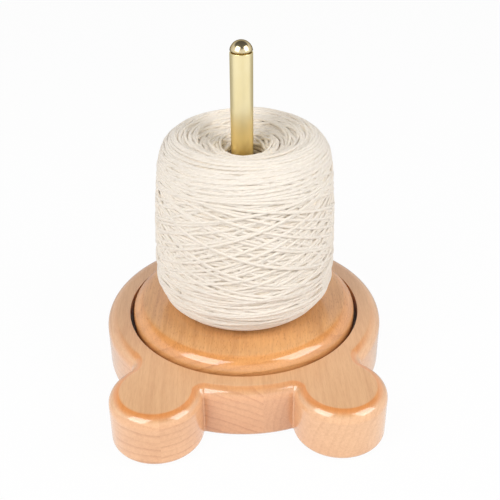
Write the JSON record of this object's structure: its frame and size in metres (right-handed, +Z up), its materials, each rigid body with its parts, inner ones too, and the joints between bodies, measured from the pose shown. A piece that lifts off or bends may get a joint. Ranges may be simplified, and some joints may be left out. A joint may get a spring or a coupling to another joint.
{
  "type": "yarn ball holder",
  "caption": "Revolving yarn ball holder: wooden base with two round ears, a turntable on a ball bearing and a dome-topped brass spindle that carries a cross-wound cake of yarn.",
  "frame": {"origin": "on the floor, in the middle of the object's outline seen from above", "axes": "+Z up along the spindle, the two ears to the front (-Y), +X to the right seen from the front"},
  "size_m": [0.161, 0.1806, 0.1905],
  "materials": {
    "beech": "clear varnish, satin gloss",
    "satin_brass": "satin",
    "polished_brass": "polished",
    "ring_aluminium": "satin",
    "steel": "zinc plated",
    "cage_plastic": "matte",
    "pad_rubber": "matte",
    "yarn": "undyed spun yarn"
  },
  "bodies": {
    "base": {"left_board": "beech", "centre_left_board": "beech", "centre_right_board": "beech", "right_board": "beech", "foot_pads": "pad_rubber", "bearing_inner_ring": "ring_aluminium", "inner_ring_screws": "steel"},
    "ball_set": {"bearing_balls": "steel", "ball_cage": "cage_plastic"},
    "turntable": {"turntable_disc": "beech", "bearing_outer_ring": "ring_aluminium", "outer_ring_screws": "steel", "spindle_tube": "satin_brass", "spindle_cap": "polished_brass", "spindle_plug": "satin_brass", "spindle_bolt": "steel", "spindle_washer": "steel"},
    "yarn_cake": {"yarn_core": "yarn", "yarn_winding": "yarn"}
  },
  "joints": [
    {"name": "turntable_spin", "type": "hinge", "parent": "base", "child": "turntable", "pos_m": [0, 0.0098, 0.03], "axis": [0, 0, 1], "continuous": true},
    {"name": "ball_set_spin", "type": "hinge", "parent": "base", "child": "ball_set", "pos_m": [0, 0.0098, 0.018], "axis": [0, 0, 1], "continuous": true},
    {"name": "yarn_lift", "type": "slide", "parent": "turntable", "child": "yarn_cake", "axis": [0, 0, 1], "range_m": [0, 0.16]}
  ],
  "couplings": [
    {"joint": "ball_set_spin", "follows": "turntable_spin", "ratio": 0.5}
  ]
}
